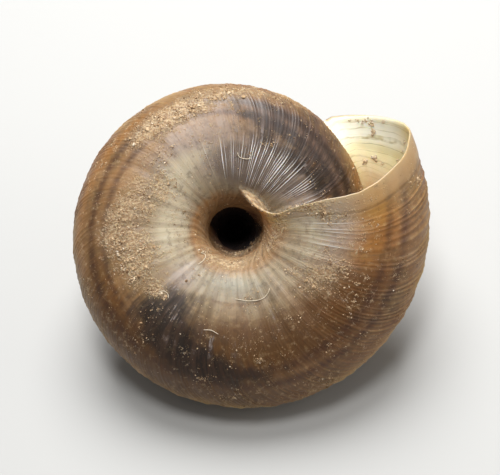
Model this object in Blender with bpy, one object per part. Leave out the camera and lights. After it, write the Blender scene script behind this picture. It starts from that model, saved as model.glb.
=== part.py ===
"""Land snail shell: a low, right-handed coil with an open umbilicus, lying on its spire."""

import math

import bmesh
import bpy
import numpy as np

# Driving dimensions in metres and degrees
PERIPHERY_RADIUS = 0.0132  # from the coil axis to the widest point of the lip
WHORL_EXPANSION = 1.43  # growth in size over one turn
TURNS = 6.0
LIP_AZIMUTH = 12.0  # where the lip crosses the base
SIZE_AZIMUTH = 28.0  # where the whorl measures PERIPHERY_RADIUS
LIP_SLANT = 43.0  # the lip leans forward from the base to the suture
COLUMELLA_LEAD = 66.0  # how far it runs ahead inside the umbilicus
COLUMELLA_CURVE = 1.7  # power by which it gets there
WALL = 0.00034  # on the last turn
WALL_GROWTH = 0.4  # power of the whorl's size that the wall follows
LIP_EDGE = 0.4  # share of the wall left at the lip's edge
LIP_TAPER = 90.0  # growth over which the wall thins to the lip
HOLLOW_TURNS = 2.25  # open tube behind the lip
NUCLEUS_TURNS = 0.75  # first part of the tube, widening from the axis
NUCLEUS_POWER = 0.6  # lower is blunter
APEX_SPAN = (0.46, 0.72)  # heights where the tube starts on the axis, in whorl sizes
REST_LEAN = 32.824  # lean of the coil axis from vertical as the shell lies
REST_TOWARD = -82.53  # growth azimuth that the umbilicus leans to
REST_TURN = -9.15  # turn about the vertical after that

# Mesh density
RINGS_PER_TURN = 40
RINGS_SWING = 120.0  # growth over which the rings swing round to the lip's line
SPIRE_COLUMNS = 5
COVERED_COLUMNS = 9
UMBILICAL_COLUMNS = 4

# Whorl section as (radius, height from the cone's tip) in periphery radii
SUTURE_SEAT = (0.995, 0.770)  # the next whorl grips here
SPIRE_SIDE = ((0.742, 0.520), (0.805, 0.530), (0.872, 0.562), (0.935, 0.617), (0.980, 0.685))
BASE_SIDE = (
    (0.968, 0.860), (0.905, 0.945), (0.800, 1.010), (0.670, 1.048), (0.540, 1.055), (0.400, 1.036),
    (0.305, 1.003),
)
UMBILICAL_SEAT = (0.235, 0.955)
UMBILICAL_WALL = ((0.190, 0.900), (0.157, 0.830), (0.143, 0.750))
SEAT_WIDTH = 0.045  # breadth of the strip that a wall stands on
SHARP_ANGLE = 50.0

SEATS = (SPIRE_COLUMNS, SPIRE_COLUMNS + COVERED_COLUMNS)
COLUMNS = SEATS[1] + UMBILICAL_COLUMNS
FULL_TURN = 2 * math.pi


def size_at(azimuth):
    """Size of the whorl at a growth azimuth, 1 at the lip."""
    rate = math.log(WHORL_EXPANSION) / FULL_TURN
    return np.exp(rate * (azimuth - math.radians(SIZE_AZIMUTH)))


def through(points, steps):
    """Centripetal spline through the points."""
    ends = (2 * points[0] - points[1], 2 * points[-1] - points[-2])
    p = np.vstack([ends[0], points, ends[1]])
    curve = []
    for a, b, c, d in zip(p, p[1:], p[2:], p[3:]):
        knots = np.cumsum([0, *(math.sqrt(math.dist(*s)) for s in ((a, b), (b, c), (c, d)))])
        t = np.linspace(knots[1], knots[2], steps, endpoint=False)[:, None]

        def between(p0, p1, k0, k1, t=t, knots=knots):
            return (p0 * (knots[k1] - t) + p1 * (t - knots[k0])) / (knots[k1] - knots[k0])

        ab, bc, cd = between(a, b, 0, 1), between(b, c, 1, 2), between(c, d, 2, 3)
        curve.append(between(between(ab, bc, 0, 2), between(bc, cd, 1, 3), 1, 2))
    return np.vstack([*curve, points[-1]])


def outer_section():
    """Section points in columns from the suture round the base to the umbilicus."""
    seat_a, seat_b = np.array(SUTURE_SEAT), np.array(UMBILICAL_SEAT)
    controls = np.array([
        seat_a / WHORL_EXPANSION, *SPIRE_SIDE, seat_a, *BASE_SIDE,
        seat_b, *UMBILICAL_WALL, seat_b / WHORL_EXPANSION,
    ])
    steps = 16
    curve = through(controls, steps)
    run = np.cumsum([0, *np.linalg.norm(np.diff(curve, axis=0), axis=1)])
    first = run[steps * (len(SPIRE_SIDE) + 1)]
    second = run[-1 - steps * (len(UMBILICAL_WALL) + 1)]
    stops = np.concatenate([
        np.linspace(0, first, SPIRE_COLUMNS + 1)[:-1],
        [first],
        np.linspace(first + SEAT_WIDTH, second - SEAT_WIDTH, COVERED_COLUMNS - 1),
        np.linspace(second, run[-1], UMBILICAL_COLUMNS + 1),
    ])
    return np.stack([np.interp(stops, run, curve[:, axis]) for axis in (0, 1)], axis=1)


def inner_section(outer, wall):
    """The outer section moved inwards by the wall."""
    along = np.gradient(outer, axis=0)
    along /= np.linalg.norm(along, axis=1)[:, None]
    return outer + wall * np.stack([-along[:, 1], along[:, 0]], axis=1)


def lip_lead(outer):
    """How far the lip runs ahead of its basal point at each column, in radians."""
    crest = np.argmax(outer[:, 1])
    rise = math.tan(math.radians(LIP_SLANT)) * (outer[crest, 1] - outer[:, 1]) / outer[:, 0]
    rise[crest:] = 0
    inside = np.clip((np.arange(COLUMNS + 1) - SEATS[1]) / UMBILICAL_COLUMNS, 0, 1)
    return np.arcsin(rise) + math.radians(COLUMELLA_LEAD) * inside**COLUMELLA_CURVE


def swept(section, azimuths):
    """Section points carried to their azimuths."""
    size = size_at(azimuths)
    radius = section[:, 0] * size
    return np.stack([radius * np.cos(azimuths), radius * np.sin(azimuths), section[:, 1] * size], 1)


def smooth(t):
    t = np.clip(t, 0, 1)
    return t * t * (3 - 2 * t)


class Tube:
    """Coiled tube whose rings end on the turn before them."""

    def __init__(self):
        self.count = round(TURNS * RINGS_PER_TURN)
        self.step = FULL_TURN / RINGS_PER_TURN
        self.section = outer_section()
        self.lead = lip_lead(self.section)
        self.points = []
        self.faces = []
        last = math.radians(LIP_AZIMUTH)
        self.theta = last - self.step * np.arange(self.count, -1, -1)
        self.share = smooth(1 - (last - self.theta) / math.radians(RINGS_SWING))
        self.azimuths = self.theta[:, None] + self.share[:, None] * self.lead
        self.open_from = self.count - round(HOLLOW_TURNS * RINGS_PER_TURN)
        self.seat_rings = [self.seats(side) for side in (0, 1)]
        self.outer = []
        self.inner = {}
        self.lay_outer()
        self.lay_inner()
        self.skin()

    def seats(self, side):
        """Ring of the turn before that each ring ends on; negative on the first turn."""
        column = (0, COLUMNS)[side]
        wanted = self.azimuths[:, column] - FULL_TURN
        return np.rint((wanted - self.theta[0]) / self.step).astype(int)

    def add(self, point):
        self.points.append(np.asarray(point, float))
        return len(self.points) - 1

    def seat(self, ring, side, inward=0):
        """Vertex of the turn before that one end of a ring stands on."""
        at = self.seat_rings[side][ring]
        column = SEATS[side]
        if at < 0:
            column = max(0, column + at) if side == 0 else min(COLUMNS, column - at)
            return self.outer[0][column]
        return self.outer[at][column + (inward if side == 0 else -inward)]

    def lay_ring(self, shape, ends):
        """Adds a ring, its ends drawn to the vertices that it stands on."""
        column = np.arange(COLUMNS + 1)
        near = np.clip(1 - column / SPIRE_COLUMNS, 0, 1) ** 2
        far = np.clip(1 - (COLUMNS - column) / UMBILICAL_COLUMNS, 0, 1) ** 2
        shape = shape + np.outer(near, self.points[ends[0]] - shape[0])
        shape = shape + np.outer(far, self.points[ends[1]] - shape[-1])
        return [ends[0], *(self.add(p) for p in shape[1:-1]), ends[1]]

    def lay_outer(self):
        """Rings of the outer surface, the first one on the coil axis."""
        start = size_at(self.theta[0])
        axis = np.zeros((COLUMNS + 1, 3))
        axis[:, 2] = np.linspace(*APEX_SPAN, COLUMNS + 1) * start
        self.outer.append([self.add(p) for p in axis])
        for ring in range(1, self.count + 1):
            grown = (self.theta[ring] - self.theta[0]) / (NUCLEUS_TURNS * FULL_TURN)
            full = math.sin(math.pi / 2 * min(1, grown)) ** NUCLEUS_POWER
            shape = swept(self.section, self.azimuths[ring])
            shape = axis * (1 - full) + shape * full
            ends = (self.seat(ring, 0), self.seat(ring, 1))
            self.outer.append(self.lay_ring(shape, ends))

    def lay_inner(self):
        """Rings of the open tube's surface."""
        wall = WALL / PERIPHERY_RADIUS
        for ring in range(self.open_from, self.count + 1):
            behind = (self.theta[-1] - self.theta[ring]) / math.radians(LIP_TAPER)
            edge = LIP_EDGE + (1 - LIP_EDGE) * smooth(behind)
            thick = wall * edge * size_at(self.theta[ring]) ** (WALL_GROWTH - 1)
            section = inner_section(self.section, thick)
            shape = swept(section, self.azimuths[ring])
            ends = (self.seat(ring, 0, 1), self.seat(ring, 1, 1))
            self.inner[ring] = self.lay_ring(shape, ends)

    def face(self, *corners):
        """Adds a face, less the corners that coincide."""
        kept = [c for k, c in enumerate(corners) if c != corners[k - 1]]
        if len(set(kept)) > 2:
            self.faces.append(kept)

    def chain(self, ring, side, inward):
        """Seats passed between a ring and the next, or None on the first turn or for none passed."""
        first, last = self.seat_rings[side][ring : ring + 2]
        if first < 0 or last - first < 1:
            return None
        column = SEATS[side] + (inward if side == 0 else -inward)
        return [self.outer[k][column] for k in range(first, last + 1)]

    def skin(self):
        """Faces of the outside, the open tube, the lip and the tube's blind end."""
        base = self.open_from - RINGS_PER_TURN
        lip_seats = [self.seat_rings[side][self.count] for side in (0, 1)]
        for ring in range(self.count):
            lower, upper = self.outer[ring], self.outer[ring + 1]
            for column in range(1, COLUMNS - 1):
                covered = SEATS[0] <= column < SEATS[1]
                if covered and ring < base:
                    continue
                if column == SEATS[0] and ring < lip_seats[0]:
                    continue
                if column == SEATS[1] - 1 and ring < lip_seats[1]:
                    continue
                self.face(lower[column], lower[column + 1], upper[column + 1], upper[column])
            self.ends(lower, upper, ring, 0)
        for ring in range(self.open_from, self.count):
            lower, upper = self.inner[ring], self.inner[ring + 1]
            for column in range(1, COLUMNS - 1):
                self.face(lower[column], lower[column + 1], upper[column + 1], upper[column])
            self.ends(lower, upper, ring, 1)
        lip_out, lip_in = self.outer[self.count], self.inner[self.count]
        for column in range(COLUMNS):
            self.face(lip_out[column], lip_out[column + 1], lip_in[column + 1], lip_in[column])
        floor = self.outer[base][SEATS[0] + 2 : SEATS[1] - 1]
        self.face(*self.inner[self.open_from], *reversed(floor))

    def ends(self, lower, upper, ring, inward):
        """Last faces of a strip; an end that passes several seats fans out to them."""
        for side in (0, 1):
            a, b = (1, 0) if side == 0 else (COLUMNS - 1, COLUMNS)
            chain = self.chain(ring, side, inward) or [lower[b], upper[b]]
            self.face(lower[a], upper[a], chain[0])
            for low, high in zip(chain, chain[1:]):
                self.face(upper[a], high, low)


def resting(points):
    """Turns the coil to the way it lies and sets it on the ground, centred."""
    lean, toward = math.radians(REST_LEAN), math.radians(REST_TOWARD)
    axis = np.array([-math.sin(toward), math.cos(toward), 0.0])
    cross = np.array([[0, -axis[2], axis[1]], [axis[2], 0, -axis[0]], [-axis[1], axis[0], 0]])
    tip = np.eye(3) + math.sin(lean) * cross + (1 - math.cos(lean)) * cross @ cross
    c, s = math.cos(math.radians(REST_TURN)), math.sin(math.radians(REST_TURN))
    laid = points @ tip.T @ np.array([[c, s, 0], [-s, c, 0], [0, 0, 1]])
    low, high = laid.min(axis=0), laid.max(axis=0)
    return laid - [(low[0] + high[0]) / 2, (low[1] + high[1]) / 2, low[2]]


def shell_material():
    material = bpy.data.materials.new("shell")
    material.use_nodes = True
    surface = material.node_tree.nodes["Principled BSDF"]
    surface.inputs["Base Color"].default_value = (0.28, 0.17, 0.09, 1)
    surface.inputs["Roughness"].default_value = 0.42
    return material


def shell_mesh():
    tube = Tube()
    used = sorted({corner for face in tube.faces for corner in face})
    renumber = {old: new for new, old in enumerate(used)}
    points = np.array([tube.points[k] for k in used]) * PERIPHERY_RADIUS
    faces = [[renumber[corner] for corner in face] for face in tube.faces]
    mesh = bpy.data.meshes.new("shell")
    mesh.from_pydata(resting(points).tolist(), [], faces)
    outward = bmesh.new()
    outward.from_mesh(mesh)
    bmesh.ops.recalc_face_normals(outward, faces=outward.faces)
    outward.to_mesh(mesh)
    outward.free()
    mesh.materials.append(shell_material())
    mesh.shade_smooth()
    mesh.set_sharp_from_angle(angle=math.radians(SHARP_ANGLE))
    return mesh


def build():
    for item in list(bpy.data.objects):
        bpy.data.objects.remove(item, do_unlink=True)
    collection = bpy.data.collections.new("land_snail_shell")
    bpy.context.scene.collection.children.link(collection)
    collection.objects.link(bpy.data.objects.new("shell", shell_mesh()))


build()
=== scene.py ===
"""Looks of the land snail shell: ribbed, banded and weathered, with dried soil, as it lies in the photo."""

import math

import bmesh
import bpy
import numpy as np
from mathutils import Matrix, Quaternion, Vector, noise


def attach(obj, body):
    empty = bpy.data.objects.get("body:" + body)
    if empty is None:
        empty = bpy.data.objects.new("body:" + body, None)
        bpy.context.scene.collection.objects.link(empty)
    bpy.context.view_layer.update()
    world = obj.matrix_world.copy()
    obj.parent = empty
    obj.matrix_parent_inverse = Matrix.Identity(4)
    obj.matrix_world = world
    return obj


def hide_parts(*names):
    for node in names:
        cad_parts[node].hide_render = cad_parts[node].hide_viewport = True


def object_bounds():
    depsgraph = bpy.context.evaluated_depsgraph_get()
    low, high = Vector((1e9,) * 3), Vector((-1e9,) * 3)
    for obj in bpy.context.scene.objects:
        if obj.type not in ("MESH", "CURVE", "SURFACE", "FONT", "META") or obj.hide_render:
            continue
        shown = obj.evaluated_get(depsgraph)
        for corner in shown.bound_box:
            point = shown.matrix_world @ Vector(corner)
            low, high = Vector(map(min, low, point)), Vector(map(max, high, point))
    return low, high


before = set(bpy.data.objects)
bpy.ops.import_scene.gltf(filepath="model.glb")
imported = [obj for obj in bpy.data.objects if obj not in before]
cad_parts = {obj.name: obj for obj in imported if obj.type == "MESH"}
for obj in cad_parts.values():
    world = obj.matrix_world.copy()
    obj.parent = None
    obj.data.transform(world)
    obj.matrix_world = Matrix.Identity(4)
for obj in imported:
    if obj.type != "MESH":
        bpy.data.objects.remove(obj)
cad_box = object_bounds()

# Driving dimensions of the shell in metres and degrees, as in the part's source
PERIPHERY_RADIUS = 0.0132
WHORL_EXPANSION = 1.43
TURNS = 6.0
LIP_AZIMUTH = 12.0
SIZE_AZIMUTH = 28.0
LIP_SLANT = 43.0
COLUMELLA_LEAD = 66.0
COLUMELLA_CURVE = 1.7
WALL = 0.00034
NUCLEUS_TURNS = 0.75
NUCLEUS_POWER = 0.6
APEX_SPAN = (0.46, 0.72)
REST_LEAN = 32.824
REST_TOWARD = -82.53
REST_TURN = -9.15
CONE_TIP = (-0.000898, 0.005354, -0.000003)
SUTURE_SEAT = (0.995, 0.770)
SPIRE_SIDE = ((0.742, 0.520), (0.805, 0.530), (0.872, 0.562), (0.935, 0.617), (0.980, 0.685))
BASE_SIDE = (
    (0.968, 0.860), (0.905, 0.945), (0.800, 1.010), (0.670, 1.048), (0.540, 1.055), (0.400, 1.036),
    (0.305, 1.003),
)
UMBILICAL_SEAT = (0.235, 0.955)
UMBILICAL_WALL = ((0.190, 0.900), (0.157, 0.830), (0.143, 0.750))
SEAT_WIDTH = 0.045

LIP_EDGE = 0.30  # thickness of the wall at the lip, as a share; the solid's lip is a little thicker
LIP_TAPER = 40.0  # degrees of growth over which the wall thins towards the lip
LIP_FORWARD = (  # place across the whorl, degrees that the photo's lip runs ahead of the solid's there
    (0.0, -5.3), (0.07, -4.8), (0.105, -3.8), (0.142, -2.4), (0.19, -0.2), (0.227, 2.2), (0.27, 4.4),
    (0.33, 5.3), (0.41, 5.2), (0.49, 4.6), (0.55, 4.2), (0.62, 4.6), (0.70, 6.2), (0.77, 7.6), (0.84, 7.0),
    (1.0, 5.0),
)
LIP_FORWARD_OVER = 36.0  # degrees of growth over which it comes to that
LIP_RISE = (-11.0, 8.0, 0.85)  # the hollows between ribs fill up: from this growth, over, share
LIP_RIB = 0.3  # height of the rib at the lip itself, as a share
LIP_CLEAR = 0.2  # degrees before the lip without a ring
LIP_CHIPS = 0.15  # how uneven the lip's edge is, in degrees
LIP_CHIP_COUNT = 30
LIP_CHIPS_OVER = 3.0  # degrees of growth over which the growth lines take up the chips
EDGE = 0.00001  # what is loose on the shell stays this far inside the solid's box

# Mesh density
SPIRE_COLUMNS = 10
COVERED_COLUMNS = 26
UMBILICAL_COLUMNS = 8
SECTION_STEPS = 16  # points from one control of the section to the next
SUTURE_CROWDING = 1.4  # the spire's columns lie closer towards the suture
TUBE_SHOWN = 200.0  # how far back from the lip the open tube is modelled, in degrees
TUBE_STEP = 3  # rings of the outside for each ring of the tube

# Growth ribs
SHELL_SEED = 7
RIB_PITCH = 1.75  # mean, in degrees, on the last turn
RIB_PITCH_SPIRE = 2.9  # on the small turns
RIB_UNEVEN = 0.24  # spread of the pitches
RIB_STRENGTHS = ((0.35, 0.65, 1), (0.35, 0.35, 0.3))  # shares of the full height, how often each
RIB_STRENGTH_SPREAD = (0.8, 1.15)
RIB_HEIGHT = 0.0001
RIB_SINK = 0.00002  # the crests stay this far inside the solid's surface
RIB_SHAPE = ((0, 0), (0.36, 0.14), (0.6, 1), (0.8, 0.22))  # place in the pitch, height
RIB_SIMPLER = 1.3  # ribs more turns back than this have no second ring
RIB_FULL_SIZE = 0.625  # smaller whorls have lower ribs
RIB_CROWDED = 0.9  # radius in the section below which the ribs, crowded there, fade
RIB_SUTURE = 1 / 14  # place across the whorl by which they have risen from the suture
RIB_FADE = (-11.0, 4.0, 0.8)  # the ribs fade towards the lip: from this growth, over, share
RIB_REACH = (  # place across the whorl, height of the ribs there
    (0, 0.75), (0.08, 1), (0.3, 1), (0.4, 0.5), (0.55, 0.2), (0.82, 0.16), (0.9, 0), (1, 0),
)
RIB_WORN = (0.1, 0.28, 0.7, -150, -95)  # worn from one place to the next by this share, up to this growth
RIB_WAVER = 0.5  # how far the growth lines stray, in degrees
WAVER_WAVES = ((9, 3.0), (23, 5.0), (41, 9.0))  # waves in a turn, half waves across the whorl
SWELLINGS = ((37.0, 0.00002), (17.0, 0.000015), (8.0, 0.000012))  # wavelength in degrees, height
SWELLING_WANDER = 0.05  # how much their phase drifts at each ring
LIP_BAND = 8.0  # degrees of smoother shell behind the lip, from a line where growth rested
REST_DEPTH = 0.00004
REST_WIDTH = 0.5

# Markings: growth in degrees, 0 at the lip, place across the whorl in hundredths, spread of each, strength
CLOUDS = {
    "dark": (
        (-345, 31, 16, 6, 0.3), (-322, 29, 18, 4.5, 0.2), (-318, 44, 16, 7, 0.6),
        (-303, 43, 12, 6, 0.5), (-329, 53, 9, 7, 1), (-349, 46, 12, 7, 0.75), (-338, 40, 14, 3.5, 0.4),
        (-290, 52, 16, 6, 0.4), (-312, 57, 18, 5, 0.5), (-335, 36, 28, 10, 0.25),
        (-305, 50, 24, 11, 0.25), (-344, 53, 8, 5, 0.9), (-147, 55, 11, 8.5, 0.95),
        (-132, 50, 14, 8, 1), (-117, 46, 18, 6, 0.95), (-138, 62, 13, 6.5, 0.6),
        (-103, 43, 22, 3.5, 0.6), (-160, 48, 10, 6, 0.3), (-130, 52, 26, 13, 0.35),
        (-45, 40, 40, 1.8, 0.3), (-322, 38.6, 34, 2, 1.1), (-322, 45, 34, 2.2, 1),
        (-360, 27, 6, 6, -1.3),
    ),
    "cream": (
        (-150, 77, 20, 5, 0.25), (-196, 72, 32, 8.5, 0.9), (-62, 73, 16, 5, 0.35),
        (-20, 70, 22, 7, 0.7), (-255, 62, 22, 5, 0.6), (-95, 80, 20, 3, 0.5), (-52, 86, 24, 4, 0.3),
        (-235, 66, 16, 9, 0.6),
    ),
    "pearl": (
        (-290, 66, 34, 11, 1), (-325, 62, 24, 11, 0.9), (-245, 60, 22, 8, 0.6), (-18, 63, 16, 9, 0.8),
        (-150, 72, 14, 7, 0.8), (-352, 62, 14, 8, 0.6), (-205, 58, 26, 6, 0.35), (-4, 72, 8, 12, 0.6),
        (-262, 50, 24, 7, 0.5),
    ),
    "umber": (
        (-98, 54, 40, 10.5, 1.25), (-52, 52, 22, 9.5, 1), (-155, 36, 20, 8, 1), (-120, 32, 30, 9, 0.9),
        (-70, 30, 26, 8, 0.6), (-335, 28, 30, 8, 0.7), (-186, 40, 16, 4, 0.5), (-128, 40, 26, 6, 0.8),
        (-250, 28, 40, 6, 0.35), (-100, 73, 40, 6, 0.32), (-150, 68, 16, 6, 0.3), (-60, 74, 20, 7, 0.3),
        (-36, 46, 30, 6, 0.3), (-286, 37, 16, 5, 0.5),
    ),
    "amber": (
        (-14, 48, 20, 9, 0.9), (-14, 57, 14, 5, 0.4), (-46, 53, 12, 6, 0.8), (-333, 49, 3.5, 7, 1.1),
        (-240, 33, 26, 3.5, 0.5), (-160, 35, 26, 5, 0.5), (-210, 82, 60, 3, 0.5), (-60, 30, 50, 6, 0.4),
        (-359, 27, 5, 5, 1.7), (-205, 30, 30, 5, 0.6), (-165, 42, 16, 5, 0.5),
    ),
    "ribbed": (
        (-288, 68, 26, 11, 1), (-318, 66, 22, 10, 1), (-345, 58, 14, 7, 0.5), (-20, 68, 20, 9, 0.35),
    ),
    "soil": (
        (-250, 41, 13, 4.5, 0.9), (-265, 39, 15, 4.5, 0.9), (-284, 34, 14, 4, 0.7),
        (-303, 29, 16, 4, 0.5), (-194, 49, 15, 7, 0.65), (-176, 60, 13, 6.5, 0.6),
        (-168, 53, 10, 5, 0.6), (-211, 57, 15, 7, 0.55), (-224, 63, 10, 5, 0.4), (-155, 59, 5, 3, 0.9),
        (-149, 61, 4, 2.5, 0.8), (-352, 66, 4, 8, 0.8), (-40, 63, 10, 5.5, 0.7), (-46, 72, 7, 4, 0.45),
        (-110, 86, 34, 3.5, 0.6), (-150, 85, 16, 3, 0.7), (-2, 15, 4, 5, 0.7), (-100, 24, 46, 5, 0.4),
        (-255, 47, 32, 10, 0.35), (-200, 62, 36, 14, 0.32), (-6, 66, 7, 5, 0.5),
        (-345, 78, 12, 6, 0.35), (-110, 88.5, 44, 2, 0.7), (-165, 98.5, 40, 3, 1),
        (-10, 83, 16, 3, 0.9), (-36, 85, 18, 3.5, 0.7), (-2, 94, 6, 5, 1.4), (-1.5, 74, 4, 5, 1.3),
        (-30, 55, 30, 12, 0.2), (-90, 34, 40, 8, 0.25), (-22, 98.5, 24, 3.5, 1.2),
        (-400, 86.6, 16, 1.8, 1), (-440, 88.5, 24, 2.2, 1), (-480, 88, 60, 4, 0.8),
        (-15, 60, 20, 6, 0.3), (-200, 33, 60, 6, 0.25),
    ),
}

# Dried soil and hairs, with sizes in metres
SOIL_GRAINS = (22000, 0.000024, 0.5, 4.0)  # count, middle radius, spread, largest as a multiple
SOIL_CRUMBS = (1500, 0.00005, 0.45, 2.7)
SOIL_PATCHES = (600, 0.8, 2.0, 3)  # waves in a metre, roughness, step between octaves, octaves
SOIL_CLUMPS = (2600, 0.6, 2.1, 3)
SOIL_RAGGED = 0.7  # how far the patches eat into the crusts
CRUST_RISE = (0.25, 0.9)  # the crusts thicken from, over
CLUMP_RISE = (-0.05, 0.4)
SINGLE_RISE = (-0.1, 0.4)
SINGLE_GRAINS = 0.02  # how thickly single grains lie, as a share of a crust
SINGLE_CRUMBS = 0.125  # the same for crumbs, as a share of the single grains
SOIL_SEED = 21
SOIL_GROWTH = (-365, -0.5)  # older shell is hidden, apart from the umbilicus's wall
SOIL_UMBILICUS = (0.84, -530)  # place across the whorl, growth
LUMP_CORNERS = (0.5, 1.3)  # how far the corners of a grain stand out, as shares of its radius
LUMP_AXES = (0.5, 1.2)
LUMP_FLATTENED = 0.3
LUMP_LIFT = 0.25  # height of its middle above the shell
# painted light: the crumbs in the mouth are paler than the other soil, to make up for the shade there
PALE_TONE = 0.8  # lowest tone of the pale crumbs in the mouth, 1 being the palest
OCTAHEDRON = (
    ((1, 0, 0), (-1, 0, 0), (0, 1, 0), (0, -1, 0), (0, 0, 1), (0, 0, -1)),
    ((0, 2, 4), (2, 1, 4), (1, 3, 4), (3, 0, 4), (2, 0, 5), (1, 2, 5), (3, 1, 5), (0, 3, 5)),
)
CRUMB_PARTS = 9  # grains that make up each crumb in the mouth
CRUMB_SPREAD = 0.5  # how far they lie from its middle, as a share of its size
CRUMB_PART_SIZE = (0.25, 0.65)
CRUMBS_INSIDE = (  # growth and place across the whorl on the inside, size in metres
    (-0.6, 0.795, 0.00012), (-0.5, 0.78, 0.00015), (-0.8, 0.765, 0.00016), (-0.5, 0.752, 0.00015),
    (-0.9, 0.738, 0.00013), (-0.5, 0.722, 0.00015), (-0.6, 0.708, 0.00012), (-0.5, 0.69, 0.00014),
    (-0.4, 0.672, 0.00009), (-0.4, 0.64, 0.00007), (-0.4, 0.59, 0.00007), (-0.4, 0.53, 0.00007),
    (-2.1, 0.11, 0.00022), (-3.5, 0.118, 0.0002), (-5.5, 0.116, 0.00018), (-7.8, 0.11, 0.00014),
    (-18.9, 0.079, 0.00022), (-20.0, 0.086, 0.00016), (-24.0, 0.055, 0.00018), (-17.2, 0.14, 0.00013),
    (-7.9, 0.177, 0.00011), (-11.0, 0.165, 0.0001), (-9.0, 0.19, 0.00009), (-22.0, 0.1, 0.00009),
    (-0.8, 0.095, 0.00012), (-1.0, 0.08, 0.0001), (-0.7, 0.125, 0.00009), (-1.2, 0.15, 0.00011),
    (-0.9, 0.245, 0.00013), (-1.6, 0.255, 0.0001), (-2.4, 0.235, 0.00009), (-1.0, 0.265, 0.00008),
)
FIBRES = (  # growth and place across the whorl along each
    ((-100, 0.72), (-95, 0.716), (-88, 0.708), (-80, 0.704), (-74, 0.712), (-70, 0.728)),
    ((-158, 0.83), (-154, 0.842), (-149, 0.834), (-146, 0.812), (-147, 0.79)),
    ((-152, 0.6), (-150, 0.618), (-147, 0.622), (-145, 0.612)),
    ((-296, 0.64), (-293, 0.65), (-289, 0.652), (-286, 0.645), (-285, 0.63)),
    ((-118, 0.585), (-114, 0.592), (-110, 0.584)),
)
FIBRE_RADIUS = 0.000022
FIBRE_TIP = 0.3  # radius of the ends, as a share
FIBRE_LIFT = 1.5  # height above the shell, in radii
FIBRE_SIDES = 5
FIBRE_STEPS = 8
FIBRE_SMOOTHED = 3

# Camera, which looks along the coil axis as the photo does
CAMERA_LEAN = (1, -0.5)  # of the line of sight from the coil axis, to the right and up, in degrees
CAMERA_DISTANCE = 12.0  # from the cone's tip, in periphery radii
PHOTO_SIZE = (500, 475)
TIP_IN_PHOTO = (237.0, 231.5)
RADIUS_IN_PHOTO = 191.3  # a periphery radius at the tip's distance, in pixels
SENSOR = 36.0

# Floor and light
FLOOR_SIZE = 1.2
FLOOR_SHADE = (173.4, 173.4, 171.5)
FLOOR_ROUGHNESS = 0.6
SKY_COLOR = (1, 0.99, 0.97)
SKY_STRENGTH = 0.22
LIGHTS = (  # name, place, size, power, colour
    ("window", (0.015, 0.11, 0.165), 0.14, 0.65, (1, 1, 1)),
    ("ceiling", (0, 0, 0.34), 0.1, 0.46, (1, 1, 1)),
    ("fill", (0.16, -0.03, 0.07), 0.12, 0.07, (1, 0.95, 0.88)),
)

SEATS = (SPIRE_COLUMNS, SPIRE_COLUMNS + COVERED_COLUMNS)
COLUMNS = SEATS[1] + UMBILICAL_COLUMNS
FULL_TURN = 2 * math.pi
LIP = math.radians(LIP_AZIMUTH)
START = LIP - TURNS * FULL_TURN


def smooth(t):
    t = np.clip(t, 0, 1)
    return t * t * (3 - 2 * t)


def rising(value, start, over, height=1):
    """Rises smoothly from 0 at the start to the height, over so much of the value."""
    return height * smooth((value - start) / over)


def size_at(azimuth):
    """Size of the whorl at a growth azimuth, 1 at the lip."""
    rate = math.log(WHORL_EXPANSION) / FULL_TURN
    return np.exp(rate * (azimuth - math.radians(SIZE_AZIMUTH)))


def through(points, steps):
    """Centripetal spline through the points."""
    ends = (2 * points[0] - points[1], 2 * points[-1] - points[-2])
    p = np.vstack([ends[0], points, ends[1]])
    curve = []
    for a, b, c, d in zip(p, p[1:], p[2:], p[3:]):
        knots = np.cumsum([0, *(math.sqrt(math.dist(*s)) for s in ((a, b), (b, c), (c, d)))])
        t = np.linspace(knots[1], knots[2], steps, endpoint=False)[:, None]

        def between(p0, p1, k0, k1, t=t, knots=knots):
            return (p0 * (knots[k1] - t) + p1 * (t - knots[k0])) / (knots[k1] - knots[k0])

        ab, bc, cd = between(a, b, 0, 1), between(b, c, 1, 2), between(c, d, 2, 3)
        curve.append(between(between(ab, bc, 0, 2), between(bc, cd, 1, 3), 1, 2))
    return np.vstack([*curve, points[-1]])


def outer_section():
    """Section points in columns from the suture round the base to the umbilicus."""
    seat_a, seat_b = np.array(SUTURE_SEAT), np.array(UMBILICAL_SEAT)
    controls = np.array([
        seat_a / WHORL_EXPANSION, *SPIRE_SIDE, seat_a, *BASE_SIDE,
        seat_b, *UMBILICAL_WALL, seat_b / WHORL_EXPANSION,
    ])
    curve = through(controls, SECTION_STEPS)
    run = np.cumsum([0, *np.linalg.norm(np.diff(curve, axis=0), axis=1)])
    first = run[SECTION_STEPS * (len(SPIRE_SIDE) + 1)]
    second = run[-1 - SECTION_STEPS * (len(UMBILICAL_WALL) + 1)]
    stops = np.concatenate([
        first * np.linspace(0, 1, SPIRE_COLUMNS + 1) ** SUTURE_CROWDING,
        np.linspace(first + SEAT_WIDTH, second - SEAT_WIDTH, COVERED_COLUMNS - 1),
        np.linspace(second, run[-1], UMBILICAL_COLUMNS + 1),
    ])
    return np.stack([np.interp(stops, run, curve[:, axis]) for axis in (0, 1)], axis=1)


def inward_normals(section):
    along = np.gradient(section, axis=0)
    along /= np.linalg.norm(along, axis=1)[:, None]
    return np.stack([-along[:, 1], along[:, 0]], axis=1)


def lip_lead(outer):
    """How far the lip runs ahead of its basal point at each column, in radians."""
    crest = np.argmax(outer[:, 1])
    rise = math.tan(math.radians(LIP_SLANT)) * (outer[crest, 1] - outer[:, 1]) / outer[:, 0]
    rise[crest:] = 0
    inside = np.clip((np.arange(COLUMNS + 1) - SEATS[1]) / UMBILICAL_COLUMNS, 0, 1)
    return np.arcsin(rise) + math.radians(COLUMELLA_LEAD) * inside**COLUMELLA_CURVE


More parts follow.
